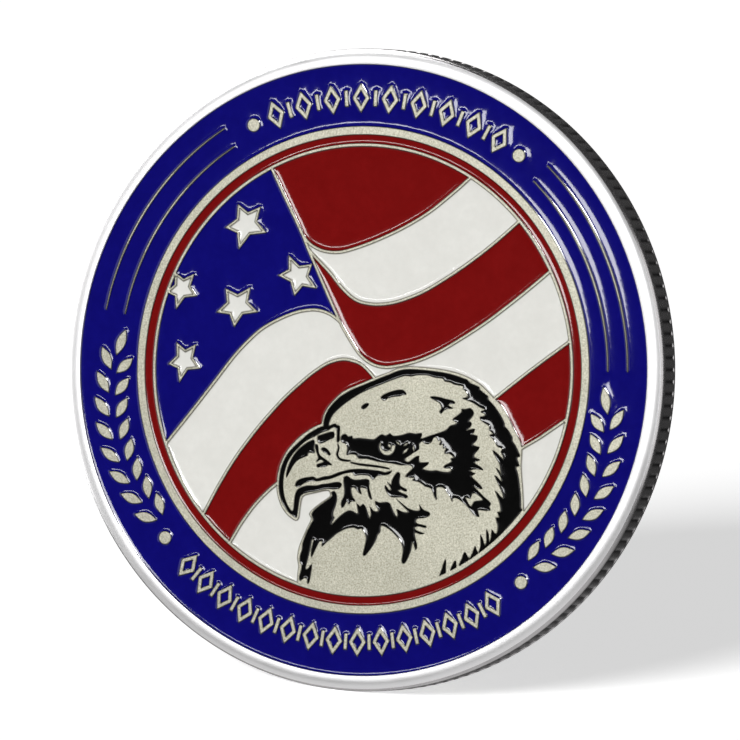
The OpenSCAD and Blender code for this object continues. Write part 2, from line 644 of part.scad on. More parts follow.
// Small feathers under the chin.
CHIN = loop([
    [-0.5, -7.55], [-0.25, -7.42], [0.0, -7.55], [0.4, -7.62], [0.9, -7.52], [1.38, -7.5],
    [1.43, -8.0], [1.58, -8.4], [1.72, -8.8], [1.52, -8.65], [1.3, -8.15], [1.0, -8.07],
    [0.75, -8.12], [0.93, -8.53], [0.65, -8.38], [0.4, -8.15], [0.1, -8.17],
    [0.2, -8.6], [0.35, -8.88], [0.52, -9.08], [0.2, -9.1], [0.08, -9.32], [-0.1, -9.1],
    [-0.22, -9.38], [-0.42, -9.62], [-0.5, -9.25], [-0.35, -8.85], [-0.36, -8.4],
    [-0.45, -8.0]
]);

// Dark hackles of the throat, which run down the front of the neck.
THROAT = loop([
    [-1.3, -8.68], [-1.1, -8.58], [-0.93, -8.78], [-0.86, -9.1], [-0.9, -9.5],
    [-1.0, -9.9], [-1.04, -10.25], [-0.9, -10.36], [-1.0, -10.6], [-1.07, -10.92],
    [-0.8, -10.6], [-0.45, -10.2], [-0.1, -9.9], [0.2, -9.76], [0.5, -9.82],
    [0.85, -9.9], [0.65, -9.22], [0.92, -9.42], [1.12, -9.2], [1.4, -9.5],
    [1.72, -10.15], [1.78, -9.75], [1.67, -9.34], [1.95, -9.6], [2.35, -9.55],
    [2.1, -9.2], [2.0, -8.9], [2.3, -8.97], [2.97, -8.88], [3.2, -9.1], [3.45, -9.5],
    [3.72, -9.82], [3.75, -9.55], [3.66, -9.27], [4.05, -9.4], [4.57, -9.4],
    [4.2, -9.08], [3.63, -8.65], [4.05, -8.87], [4.45, -9.1], [5.0, -9.22],
    [5.4, -9.13], [5.27, -8.77], [5.6, -9.07], [6.08, -9.22], [6.12, -9.4],
    [5.83, -9.58], [5.25, -9.72], [5.13, -9.88], [5.25, -10.07], [5.95, -10.17],
    [5.88, -10.29], [5.4, -10.24], [5.08, -10.4], [5.4, -10.6], [5.87, -10.7],
    [5.5, -10.76], [5.15, -10.7], [5.25, -11.1], [5.43, -11.64], [5.35, -11.88],
    [5.15, -11.45], [5.05, -11.4], [5.02, -11.9], [4.9, -12.36], [4.7, -12.82],
    [4.53, -12.94], [4.42, -12.75], [4.44, -12.18], [4.38, -11.8], [4.16, -11.4],
    [3.7, -11.0], [3.25, -10.7], [2.8, -10.52], [2.58, -10.55], [2.6, -10.94],
    [2.43, -11.2], [2.36, -11.5], [2.14, -12.0], [1.86, -12.44], [1.64, -12.72],
    [1.51, -12.68], [1.54, -12.37], [1.6, -11.94], [1.62, -11.5], [1.46, -11.16],
    [1.2, -10.88], [0.93, -10.97], [0.64, -10.88], [0.29, -10.95], [0.0, -11.05],
    [-0.3, -11.23], [-0.64, -11.48], [-1.0, -11.84], [-1.36, -12.19], [-1.6, -12.44],
    [-1.62, -12.15], [-1.8, -12.12], [-1.95, -12.4], [-2.08, -12.73], [-2.3, -13.28],
    [-2.35, -12.9], [-2.3, -12.4], [-2.25, -12.05], [-2.4, -12.1], [-2.46, -12.66],
    [-2.54, -13.37], [-2.64, -13.9], [-2.64, -14.2], [-2.43, -14.08], [-2.23, -13.78],
    [-2.21, -14.23], [-2.25, -14.8], [-2.35, -15.2], [-2.45, -14.85], [-2.65, -14.75],
    [-2.93, -15.0], [-3.04, -14.8], [-2.97, -14.37], [-2.95, -13.9], [-3.1, -13.72],
    [-3.14, -13.3], [-3.05, -12.88], [-3.05, -12.45], [-2.93, -11.98], [-2.78, -11.5],
    [-2.57, -11.0], [-2.46, -10.73], [-2.6, -10.35], [-2.45, -10.05], [-2.2, -9.78],
    [-1.8, -9.44], [-1.45, -9.15], [-1.22, -8.92]
]);

// Feather tips along the lower edge, behind the neck.
NAPE_TIPS = [
    [[8.7, -12.8], [8.85, -12.1], [8.97, -11.63], [9.15, -11.78], [9.3, -12.0], [9.45, -11.95],
        [9.6, -11.55], [9.72, -11.14], [9.85, -11.4], [10.0, -11.72], [9.6, -12.6]],
    [[8.0, -13.4], [8.12, -12.85], [8.34, -12.3], [8.45, -12.5], [8.5, -13.0], [8.3, -13.4]],
    [[7.3, -13.7], [7.42, -13.1], [7.62, -12.27], [7.7, -12.7], [7.72, -13.6]]
];

module outline_cell() {
    ink() {
        polygon(CROWN);
        polygon(BEAK_BAND);
    }
}

module eye_cell() {
    ink()
        difference() {
            polygon(EYE_STRIPE);
            polygon(CHEEK);
            polygon(EAR_DOWN);
            eye_metal();
        }
}

module brow_cell() {
    ink() {
        polygon(CROWN_DOT);
        polygon(CROWN_STREAK);
        polygon(CROWN_FLECK);
    }
}

module beak_cell() {
    ink() {
        polygon(BEAK_STREAK);
        polygon(BEAK_SKIN);
        polygon(NOSTRIL);
        polygon(BEAK_FOLD);
    }
}

module mouth_cell() {
    ink() {
        polygon(GAPE);
        gape_lines();
    }
}

module cheek_cell() {
    ink() {
        polygon(CHEEK_MARK);
        polygon(CHIN);
    }
}

module throat_cell() {
    ink() polygon(THROAT);
}

module nape_cell() {
    ink()
        for (tip = NAPE_TIPS)
            polygon(loop(tip));
}

// ---------------------------------------------------------------- reverse

module reverse_star() {
    star([for (i = [0 : 4]) polar(reverse_star_r, 72 * i)], valley = 0.5);
}

module reverse_star_cell() {
    offset(delta = -reverse_star_line) reverse_star();
}

// Ring of round beads just inside the narrow ring of the reverse.
module reverse_bead_ring() {
    for (i = [0 : reverse_beads - 1])
        translate(polar(bead_ring_r, i * 360 / reverse_beads)) circle(r = bead_r, $fn = 20);
}

// ---------------------------------------------------------------- solids

// Round between a rim and the edge: angle 0 is on the rim and 90 is on the edge.
function round_point(a) = [
    coin_r - edge_round + edge_round * sin(a),
    face_z - edge_round + edge_round * cos(a)
];

// Section through one face of the blank, from the narrow ring out to the edge.
function border_profile() = concat(
    [
        [narrow_in_r * art, relief_z], [narrow_in_r * art, floor_z],
        [narrow_out_r * art, floor_z], [narrow_out_r * art, relief_z],
        [ring_r * art, relief_z], [ring_r * art, floor_z],
        [border_r, floor_z], [border_r, face_z - rim_bevel], [border_r + rim_bevel, face_z]
    ],
    [for (i = [0 : round_n]) round_point(90 * i / round_n)]
);

// Struck blank in one turned section: the picture field of the obverse is raised and the
// field of the reverse is sunk inside a narrow lip.
module blank() {
    field_r = narrow_in_r * art - reverse_lip_w;
    obverse = concat([[0, relief_z]], border_profile());
    reverse = concat(
        [[0, floor_z], [field_r, floor_z], [field_r, relief_z]],
        border_profile()
    );
    last = len(reverse) - 1;
    rotate_extrude($fn = 120)
        polygon(concat(obverse, [for (i = [last : -1 : 0]) [reverse[i][0], -reverse[i][1]]]));
}

// Turns the flat drawing of the coin up onto its edge.
module stand() {
    rotate([90, 0, 0]) children();
}

// Puts a flat drawing on the reverse.
module on_reverse() {
    rotate([0, 180, 0]) children();
}

// Joins flat shapes into one outline before they are raised or cut.
module joined() {
    offset(delta = 0) children();
}

// Raised metal that stands on the floor of the cells.
module raised() {
    translate([0, 0, floor_z])
        linear_extrude(height = cell_depth)
            scale(art) children();
}

// The raised metal of a whole border.
module raised_border() {
    raised() joined() border_figures();
    raised() border_dots();
}

// Enamel that fills a cell of the drawing.
module filled() {
    translate([0, 0, floor_z])
        linear_extrude(height = enamel_h)
            scale(art) children();
}

// Cut that opens a cell of the drawing, from its floor to above the rim.
module opened() {
    translate([0, 0, floor_z])
        linear_extrude(height = cell_depth + clear)
            scale(art) children();
}

module ring_fill(outer_r, inner_r) {
    translate([0, 0, floor_z])
        linear_extrude(height = enamel_h)
            difference() {
                circle(r = outer_r, $fn = ring_fn);
                circle(r = inner_r, $fn = ring_fn);
            }
}

module border_fill() {
    difference() {
        ring_fill(border_r, ring_r * art);
        raised_border();
    }
}

module all_cells() {
    canton_cell();
    for (i = [0 : len(STARS) - 1])
        star_cell(i);
    upper_red_cell();
    middle_red_cell();
    left_red_cell();
    right_red_cell();
    upper_white_cell();
    middle_white_cell();
    left_white_cell();
    right_white_cell();
    outline_cell();
    eye_cell();
    brow_cell();
    beak_cell();
    mouth_cell();
    cheek_cell();
    throat_cell();
    nape_cell();
}

module struck_body() {
    color(silver)
        stand()
            difference() {
                union() {
                    blank();
                    raised_border();
                    on_reverse() raised_border();
                    on_reverse() raised() reverse_star();
                    on_reverse() raised() reverse_bead_ring();
                }
                opened() joined() all_cells();
                on_reverse() opened() reverse_star_cell();
            }
}

module border_enamel() {
    color(blue) stand() border_fill();
}

module narrow_ring_enamel() {
    color(red) stand() ring_fill(narrow_out_r * art, narrow_in_r * art);
}

module canton_enamel() {
    color(blue) stand() filled() canton_cell();
}

module star_enamel(i) {
    color(white) stand() filled() star_cell(i);
}

module red_stripe_upper() {
    color(red) stand() filled() upper_red_cell();
}

module red_stripe_middle() {
    color(red) stand() filled() middle_red_cell();
}

module red_stripe_lower_right() {
    color(red) stand() filled() right_red_cell();
}

module red_stripe_lower_left() {
    color(red) stand() filled() left_red_cell();
}

module white_stripe_upper() {
    color(white) stand() filled() upper_white_cell();
}

module white_stripe_middle() {
    color(white) stand() filled() middle_white_cell();
}

module white_stripe_lower_right() {
    color(white) stand() filled() right_white_cell();
}

module white_stripe_lower_left() {
    color(white) stand() filled() left_white_cell();
}

module eagle_outline_enamel() {
    color(black) stand() filled() outline_cell();
}

module eagle_eye_enamel() {
    color(black) stand() filled() eye_cell();
}

module eagle_brow_enamel() {
    color(black) stand() filled() brow_cell();
}

module eagle_beak_enamel() {
    color(black) stand() filled() beak_cell();
}

module eagle_mouth_enamel() {
    color(black) stand() filled() mouth_cell();
}

module eagle_cheek_enamel() {
    color(black) stand() filled() cheek_cell();
}

module eagle_throat_enamel() {
    color(black) stand() filled() throat_cell();
}

module eagle_nape_enamel() {
    color(black) stand() filled() nape_cell();
}

module reverse_border_enamel() {
    color(blue) stand() on_reverse() border_fill();
}

module reverse_ring_enamel() {
    color(red) stand() on_reverse() ring_fill(narrow_out_r * art, narrow_in_r * art);
}

module reverse_star_enamel() {
    color(blue) stand() on_reverse() filled() reverse_star_cell();
}

struck_body();
border_enamel();
narrow_ring_enamel();
canton_enamel();
star_enamel(0);  // star_enamel_1
star_enamel(1);  // star_enamel_2
star_enamel(2);  // star_enamel_3
star_enamel(3);  // star_enamel_4
star_enamel(4);  // star_enamel_5
red_stripe_upper();
red_stripe_middle();
red_stripe_lower_right();
red_stripe_lower_left();
white_stripe_upper();
white_stripe_middle();
white_stripe_lower_right();
white_stripe_lower_left();
eagle_outline_enamel();
eagle_eye_enamel();
eagle_brow_enamel();
eagle_beak_enamel();
eagle_mouth_enamel();
eagle_cheek_enamel();
eagle_throat_enamel();
eagle_nape_enamel();
reverse_border_enamel();
reverse_ring_enamel();
reverse_star_enamel();
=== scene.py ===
import math

import bmesh
import bpy
import numpy as np
from mathutils import Matrix, Vector
from mathutils.geometry import delaunay_2d_cdt
from mathutils.kdtree import KDTree

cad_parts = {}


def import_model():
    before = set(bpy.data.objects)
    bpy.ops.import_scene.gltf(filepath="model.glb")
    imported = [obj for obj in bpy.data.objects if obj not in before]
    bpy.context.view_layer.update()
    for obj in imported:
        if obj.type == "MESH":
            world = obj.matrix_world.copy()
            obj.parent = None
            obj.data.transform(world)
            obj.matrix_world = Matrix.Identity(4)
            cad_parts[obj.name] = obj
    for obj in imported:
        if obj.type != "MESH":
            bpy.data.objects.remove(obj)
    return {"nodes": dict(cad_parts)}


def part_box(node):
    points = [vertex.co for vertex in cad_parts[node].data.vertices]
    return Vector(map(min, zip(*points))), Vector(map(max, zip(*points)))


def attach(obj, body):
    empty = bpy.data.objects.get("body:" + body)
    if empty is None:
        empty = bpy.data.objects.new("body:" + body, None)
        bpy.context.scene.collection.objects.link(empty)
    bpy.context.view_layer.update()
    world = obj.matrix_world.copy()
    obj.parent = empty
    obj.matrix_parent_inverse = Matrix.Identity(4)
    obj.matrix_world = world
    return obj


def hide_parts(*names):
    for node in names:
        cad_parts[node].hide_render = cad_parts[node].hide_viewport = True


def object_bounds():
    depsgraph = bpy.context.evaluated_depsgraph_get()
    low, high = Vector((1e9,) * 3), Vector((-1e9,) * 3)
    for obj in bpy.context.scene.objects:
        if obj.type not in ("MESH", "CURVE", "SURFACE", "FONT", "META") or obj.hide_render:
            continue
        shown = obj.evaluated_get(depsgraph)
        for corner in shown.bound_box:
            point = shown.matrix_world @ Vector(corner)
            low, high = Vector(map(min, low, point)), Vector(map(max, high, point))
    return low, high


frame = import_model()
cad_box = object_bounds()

# The coin stands on its edge. Each face is worked out flat, in millimetres, with x to the
# right and y up as that face is seen, and h is the height above the middle of the coin.
MM = 0.001
OBVERSE, REVERSE = -1, 1

# Heights and radii, from the CAD nodes where they give them.
COIN_R = cad_box[1].x / MM
FACE_H = cad_box[1].y / MM
FLOOR_H = -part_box("border_enamel")[1].y / MM
ENAMEL_H = -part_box("border_enamel")[0].y / MM
BORDER_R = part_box("border_enamel")[1].x / MM
RELIEF_DROP = 0.08
RELIEF_H = FACE_H - RELIEF_DROP
FIELD_R = 15.6

# Outlines, and the points that are added beside and between them.
CIRCLE_STEPS = 1008
OUTLINE_STEP = 0.13
CORNER_ANGLE = math.radians(38)
MITRE_LEAN = 0.12
OUTWARD_LEAN = 0.9
METAL_ROWS = (0.012, 0.03, 0.07)
CELL_ROWS = (0.05, 0.11, 0.18, 0.26, 0.36, 0.5, 0.75)
REVERSE_ROWS = (0.06, 0.15, 0.3, 0.55)
GRID_STEP = 0.55
GRID_GAP = 0.4
GRID_CLEAR = 0.8
ON_OUTLINE = 1e-4
JOIN_WITHIN = 0.0005

# Rounding of the struck metal and rise of the enamel against it.
TOP_ROUND = 0.026
MENISCUS_RISE = 0.07
CAPILLARY_L = 0.2
SETTLE_STEPS = 260
FIELD_FILLET = 0.09
FILL_GAP = 0.003

# Rim and reeded edge.
EDGE_ROUND = 0.75
RIM_TURN = math.radians(50)
LIP_ROUND = 0.06
REEDS = 168
REED_DEPTH = 0.11
REED_FADE = 0.14

PICTURE_NODES = [
    "canton_enamel",
    "star_enamel_1", "star_enamel_2", "star_enamel_3", "star_enamel_4", "star_enamel_5",
    "red_stripe_upper", "red_stripe_middle", "red_stripe_lower_right", "red_stripe_lower_left",
    "white_stripe_upper", "white_stripe_middle", "white_stripe_lower_right",
    "white_stripe_lower_left",
    "eagle_outline_enamel", "eagle_eye_enamel", "eagle_brow_enamel", "eagle_beak_enamel",
    "eagle_mouth_enamel", "eagle_cheek_enamel", "eagle_throat_enamel", "eagle_nape_enamel",
]
OBVERSE_NODES = ["border_enamel", "narrow_ring_enamel"] + PICTURE_NODES
REVERSE_NODES = ["reverse_border_enamel", "reverse_ring_enamel", "reverse_star_enamel"]
FILL_SLOTS = {
    "blue_enamel": ["border_enamel", "canton_enamel", "reverse_border_enamel",
                    "reverse_star_enamel"],
    "red_enamel": ["narrow_ring_enamel", "reverse_ring_enamel"]
    + [n for n in PICTURE_NODES if n.startswith("red_")],
    "white_enamel": [n for n in PICTURE_NODES if n.startswith(("white_", "star_"))],
    "black_enamel": [n for n in PICTURE_NODES if n.startswith("eagle_")],
}

# ------------------------------------------------------------------ outlines from the CAD


def flat_loops(node, side, height):
    """Outlines of the node's faces at that height, each with its area on the left."""
    mesh = frame["nodes"][node].data
    points, edges = {}, set()
    for face in mesh.polygons:
        corners = [mesh.vertices[v].co for v in face.vertices]
        if max(abs(c.y * side / MM - height) for c in corners) > 1e-3:
            continue
        keys = []
        for c in corners:
            p = (-side * c.x / MM, c.z / MM)
            key = (round(p[0], 3), round(p[1], 3))
            points[key] = p
            keys.append(key)
        edges.update(zip(keys, keys[1:] + keys[:1]))
    follow = {}
    for a, b in sorted(edges):
        if (b, a) not in edges and a != b:
            follow.setdefault(a, []).append(b)
    loops = []
    while follow:
        start = next(iter(follow))
        loop, here = [], start
        while here in follow:
            loop.append(points[here])
            ways = follow[here]
            step = ways.pop()
            if not ways:
                del follow[here]
            here = step
        if len(loop) > 2:
            loops.append(np.array(loop))
    return loops


def circle(centre, radius, steps, turn=1):
    """Points round a circle, anticlockwise, or clockwise if turn is -1."""
    a = np.arange(steps) * (2 * math.pi / steps) * turn
    return np.column_stack([centre[0] + radius * np.cos(a), centre[1] + radius * np.sin(a)])


def area(loop):
    """Area inside the loop, negative where it runs clockwise."""
    x, y = loop[:, 0], loop[:, 1]
    return 0.5 * float(np.sum(x * np.roll(y, -1) - np.roll(x, -1) * y))


def without_repeats(loop, least=0.012):
    """The loop without points that nearly coincide with the one before."""
    step = np.linalg.norm(loop - np.roll(loop, 1, axis=0), axis=1)
    return loop[step > least]


def smoothed(loop):
    """The outline at an even step: true circles, smooth curves and sharp corners."""
    loop = without_repeats(loop)
    centre = (loop.min(0) + loop.max(0)) / 2
    radii = np.linalg.norm(loop - centre, axis=1)
    if len(loop) > 10 and np.ptp(radii) < 0.02 * radii.max():
        turn = 1 if area(loop) > 0 else -1
        whole = radii.max() > FIELD_R - 1
        steps = CIRCLE_STEPS if whole else max(18, int(2 * math.pi * radii.max() / OUTLINE_STEP))
        return circle((0, 0) if whole else centre, float(np.median(radii)), steps, turn)
    ahead = np.roll(loop, -1, axis=0) - loop
    length = np.linalg.norm(ahead, axis=1)
    ahead = ahead / length[:, None]
    behind, behind_length = np.roll(ahead, 1, axis=0), np.roll(length, 1)
    turn = np.arccos(np.clip((ahead * behind).sum(1), -1, 1))
    tangent = ahead * behind_length[:, None] + behind * length[:, None]
    tangent /= np.maximum(np.linalg.norm(tangent, axis=1), 1e-9)[:, None]
    corner = turn > CORNER_ANGLE
    out = []
    for i in range(len(loop)):
        j = (i + 1) % len(loop)
        leave = (ahead[i] if corner[i] else tangent[i]) * length[i]
        reach = (ahead[i] if corner[j] else tangent[j]) * length[i]
        steps = max(1, math.ceil(length[i] / OUTLINE_STEP))
        for t in np.arange(steps) / steps:
            out.append(
                (2 * t**3 - 3 * t**2 + 1) * loop[i]
                + (t**3 - 2 * t**2 + t) * leave
                + (3 * t**2 - 2 * t**3) * loop[j]
                + (t**3 - t**2) * reach
            )
    return np.array(out)


def smooth_loops(node, side, height):
    return [smoothed(loop) for loop in flat_loops(node, side, height)]


def encloses(loops, p):
    """True if p is inside the area that the loops bound."""
    inside = False
    for loop in loops:
        a, b = loop, np.roll(loop, -1, axis=0)
        crosses = (a[:, 1] > p[1]) != (b[:, 1] > p[1])
        a, b = a[crosses], b[crosses]
        at = a[:, 0] + (p[1] - a[:, 1]) * (b[:, 0] - a[:, 0]) / (b[:, 1] - a[:, 1])
        if np.count_nonzero(at > p[0]) % 2:
            inside = not inside
    return inside


# ------------------------------------------------------------------ one face of the coin


class Outline:
    """All the outlines of one face, as points that each know the next and the last."""

    def __init__(self, loops):
        self.loops = loops
        self.points = np.vstack(loops)
        self.next = np.concatenate([
            start + (np.arange(len(loop)) + 1) % len(loop)
            for loop, start in zip(loops, self.starts())
        ])
        self.last = np.empty_like(self.next)
        self.last[self.next] = np.arange(len(self.next))
        self.tree = KDTree(len(self.points))
        for i, p in enumerate(self.points):
            self.tree.insert((p[0], p[1], 0), i)
        self.tree.balance()

    def starts(self):
        """The number of each loop's first point."""
        return np.cumsum([0] + [len(loop) for loop in self.loops])[:-1]

    def distance(self, queries, near=4):
        """Distance from each query point to the nearest outline."""
        found = np.array([
            [i for _, i, _ in self.tree.find_n((q[0], q[1], 0), near)] for q in queries
        ])
        first = np.concatenate([found, self.last[found]], axis=1)
        a, b = self.points[first], self.points[self.next[first]]
        q = np.asarray(queries)[:, None, :]
        along = b - a
        t = ((q - a) * along).sum(2) / np.maximum((along**2).sum(2), 1e-12)
        foot = a + np.clip(t, 0, 1)[:, :, None] * along
        return np.linalg.norm(q - foot, axis=2).min(1)

    def rows(self, distances, side):
        """Points at those distances beside every outline: side 1 is left, -1 is right."""
        ahead = self.points[self.next] - self.points
        ahead /= np.linalg.norm(ahead, axis=1)[:, None]
        across = np.column_stack([-ahead[:, 1], ahead[:, 0]]) * side
        before = across[self.last]
        middle = across + before
        middle /= np.maximum(np.linalg.norm(middle, axis=1), 1e-9)[:, None]
        lean = (middle * across).sum(1)
        narrows = (before * ahead).sum(1) < 0
        reach = np.where(narrows, 1 / np.maximum(lean, MITRE_LEAN), 1)[:, None]
        outward = ~narrows & (lean < OUTWARD_LEAN)
        kept = []
        for distance in distances:
            every = max(1, int(distance / OUTLINE_STEP * 0.9))
            p = np.vstack([
                (self.points + middle * reach * distance)[::every],
                (self.points + across * distance)[outward],
                (self.points + before * distance)[outward],
            ])
            kept.append(p[self.distance(p) > distance * 0.94])
        return kept


def thinned(groups, gaps):
    """The points of the groups, in order, without those closer than the gap to one kept."""
    cell = max(gaps)
    seen, kept = {}, []
    for group, gap in zip(groups, gaps):
        for p in group:
            key = (int(math.floor(p[0] / cell)), int(math.floor(p[1] / cell)))
            close = any(
                (p[0] - q[0]) ** 2 + (p[1] - q[1]) ** 2 < gap * gap
                for i in (-1, 0, 1) for j in (-1, 0, 1)
                for q in seen.get((key[0] + i, key[1] + j), ())
            )
            if not close:
                seen.setdefault(key, []).append(p)
                kept.append(p)
    return kept


def inner_grid(outline):
    """Staggered grid over the face, away from every outline."""
    n = int(BORDER_R / GRID_STEP) + 1
    p = np.array([
        ((i + 0.5 * (j % 2)) * GRID_STEP, j * GRID_STEP * 0.866)
        for j in range(-int(n * 1.2), int(n * 1.2)) for i in range(-n, n)
    ])
    p = p[np.linalg.norm(p, axis=1) < BORDER_R - GRID_STEP]
    return p[outline.distance(p) > GRID_CLEAR]


def triangulated(outline, extra):
    """(points, triangles, patch of each triangle): outlines separate the patches."""
    given = [Vector(p) for p in outline.points] + [Vector(p) for p in extra]
    edges = [(i, int(j)) for i, j in enumerate(outline.next)]
    points, lines, faces, _, given_edges, _ = delaunay_2d_cdt(given, edges, [], 0, 1e-5)
    fixed = {tuple(sorted(line)) for line, ids in zip(lines, given_edges) if ids}
    sides = {}
    for f, face in enumerate(faces):
        for a, b in zip(face, face[1:] + face[:1]):
            sides.setdefault((a, b) if a < b else (b, a), []).append(f)
    beside = [[] for _ in faces]
    for line, pair in sides.items():
        if len(pair) == 2 and line not in fixed:
            beside[pair[0]].append(pair[1])
            beside[pair[1]].append(pair[0])
    patch = [-1] * len(faces)
    count = 0
    for start in range(len(faces)):
        if patch[start] >= 0:
            continue
        patch[start], stack = count, [start]
        while stack:
            for f in beside[stack.pop()]:
                if patch[f] < 0:
                    patch[f] = count
                    stack.append(f)
        count += 1
    return np.array([tuple(p) for p in points]), np.array(faces), np.array(patch)


def named_patches(points, faces, patch, areas):
    """The name of each triangle's area: the first of areas that holds its patch, or metal."""
    corners = points[faces]
    middles = corners.mean(axis=1)
    u, v = corners[:, 1] - corners[:, 0], corners[:, 2] - corners[:, 0]
    size = np.abs(u[:, 0] * v[:, 1] - u[:, 1] * v[:, 0])
    names = np.empty(len(faces), dtype=object)
    for k in range(patch.max() + 1):
        mine = np.nonzero(patch == k)[0]
        p = middles[mine[np.argmax(size[mine])]]
        if np.hypot(*p) > BORDER_R:
            names[mine] = "outside"
            continue
        holds = [name for name, loops in areas if encloses(loops, p)]
        names[mine] = holds[0] if holds else "metal"
    return names


class Face:
    """One face of the coin: a fine triangulation for what is seen and a coarse one below."""

    def __init__(self, side, nodes, cell_rows, field=None):
        self.side = side
        areas = [(n, smooth_loops(n, side, ENAMEL_H)) for n in nodes]
        if field:
            areas.append(("field", field))
        self.outline = Outline([loop for _, loops in areas for loop in loops])
        rows = self.outline.rows(METAL_ROWS, -1) + self.outline.rows(cell_rows, 1)
        gaps = [0.45 * d for d in METAL_ROWS] + [0.2 * d + 0.035 for d in cell_rows]
        extra = thinned(rows + [inner_grid(self.outline)], gaps + [GRID_GAP])
        self.fine = self.named(extra, areas)
        self.coarse = self.named([], areas)
        depth = self.outline.distance(self.fine[0])
        self.depth = np.where(depth < ON_OUTLINE, 0, depth)

    def named(self, extra, areas):
        """(points, triangles, name of each triangle's area)."""
        points, faces, patch = triangulated(self.outline, extra)
        return points, faces, named_patches(points, faces, patch, areas)

    def place(self, p, h):
        """A point of the face in the row frame, in metres."""
        return (-self.side * p[0] * MM, self.side * h * MM, p[1] * MM)


class Builder:
    """Collects the points and faces of one mesh, and joins the points that coincide."""

    def __init__(self):
        self.index, self.points, self.faces = {}, [], []
        self.kinds, self.smooth, self.near = [], [], []

    def point(self, p, depth=0.0):
        key = tuple(round(c * 1e7) for c in p)
        if key not in self.index:
            self.index[key] = len(self.points)
            self.points.append(p)
            self.near.append(depth)
        return self.index[key]

    def face(self, corners, kind=0, smooth=True):
        if len(set(corners)) == len(corners):
            self.faces.append(corners)
            self.kinds.append(kind)
            self.smooth.append(smooth)

    def piece(self, name, materials, sharp=40):
        """The mesh as an object, sharp where its faces meet at more than that many degrees."""
        mesh = bpy.data.meshes.new(name)
        mesh.from_pydata(self.points, [], self.faces)
        for material in materials:
            mesh.materials.append(material)
        mesh.polygons.foreach_set("material_index", self.kinds)
        mesh.polygons.foreach_set("use_smooth", self.smooth)
        mesh.attributes.new("depth", "FLOAT", "POINT").data.foreach_set("value", self.near)
        joined = bmesh.new()
        joined.from_mesh(mesh)
        bmesh.ops.remove_doubles(joined, verts=joined.verts, dist=JOIN_WITHIN * MM)
        joined.to_mesh(mesh)
        joined.free()
        mesh.set_sharp_from_angle(angle=math.radians(sharp))
        piece = bpy.data.objects.new(name, mesh)
        bpy.context.scene.collection.objects.link(piece)
        return piece


def open_edges(faces):
    """The edges of the triangles that only one of them has, in its direction."""
    edges = {(int(a), int(b)) for f in faces for a, b in zip(f, np.roll(f, -1))}
    return sorted((a, b) for a, b in edges if (b, a) not in edges)


# ------------------------------------------------------------------ enamel


def cured_heights(points, faces, depth):
    """Height of each point of a fill that wets the metal round it and settles level.

    The rise obeys the equation of a capillary film, solved by repeated averaging.
    """
    used, index = np.unique(faces, return_inverse=True)
    corner = index.reshape(faces.shape)
    p = points[used]
    ends, others, ties = [], [], []
    for k in range(3):
        i, j, o = corner[:, k], corner[:, (k + 1) % 3], corner[:, (k + 2) % 3]
        u, v = p[i] - p[o], p[j] - p[o]
        twice = np.abs(u[:, 0] * v[:, 1] - u[:, 1] * v[:, 0])
        ties.append(np.clip((u * v).sum(1) / np.maximum(twice, 1e-9), 0, 20) / 2)
        ends.append(i)
        others.append(j)
    ends, others, ties = map(np.concatenate, (ends, others, ties))
    level = np.bincount(corner.ravel(), np.repeat(twice / 6, 3)) / CAPILLARY_L**2
    total = np.bincount(ends, ties, len(used)) + np.bincount(others, ties, len(used)) + level
    wall = depth[used] == 0
    rise = MENISCUS_RISE * np.exp(-depth[used] / CAPILLARY_L)
    for _ in range(SETTLE_STEPS):
        pull = np.bincount(ends, ties * rise[others], len(used))
        pull += np.bincount(others, ties * rise[ends], len(used))
        rise = np.where(wall, MENISCUS_RISE, pull / total)
    return dict(zip(used.tolist(), (ENAMEL_H + rise).tolist()))


def enamel_fill(face, node, material):
    """One closed fill: its curved surface, its side against the metal and its underside."""
    made = Builder()
    points, faces, names = face.fine
    top = faces[names == node]
    at = {
        i: made.point(face.place(points[i], h), face.depth[i])
        for i, h in cured_heights(points, top, face.depth).items()
    }
    for f in top:
        made.face([at[int(i)] for i in f])
    low = FLOOR_H + FILL_GAP
    for a, b in open_edges(top):
        foot = [made.point(face.place(points[i], low)) for i in (a, b)]
        made.face([at[b], at[a], foot[0], foot[1]])
    points, faces, names = face.coarse
    for f in faces[names == node]:
        made.face([made.point(face.place(points[i], low)) for i in f[::-1]])
    piece = made.piece(node + "_fill", [material])
    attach(piece, "root")
    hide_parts(node)


# ------------------------------------------------------------------ struck body

BLASTED, RIM, EDGE, RECESS = range(4)


def metal_height(depth):
    """The top of the struck metal, flat but for its rounded edge."""
    if depth >= TOP_ROUND:
        return RELIEF_H
    return RELIEF_H - TOP_ROUND + math.sqrt(TOP_ROUND**2 - (TOP_ROUND - depth) ** 2)


def field_height(depth):
    """The sunk field of the reverse, with a fillet against the walls."""
    if depth >= FIELD_FILLET:
        return FLOOR_H
    return FLOOR_H + FIELD_FILLET - math.sqrt(FIELD_FILLET**2 - (FIELD_FILLET - depth) ** 2)


def struck_tops(made, face):
    """The raised metal of a face and, on the reverse, its sunk field."""
    points, faces, names = face.fine
    for f, name in zip(faces, names):
        if name not in ("metal", "field"):
            continue
        corners, level = [], True
        for i in f:
            d = face.depth[i]
            h = field_height(d) if name == "field" else metal_height(d)
            corners.append(made.point(face.place(points[i], h), d))
            level = level and d >= (FIELD_FILLET if name == "field" else TOP_ROUND)
        made.face(corners, BLASTED, smooth=not level)


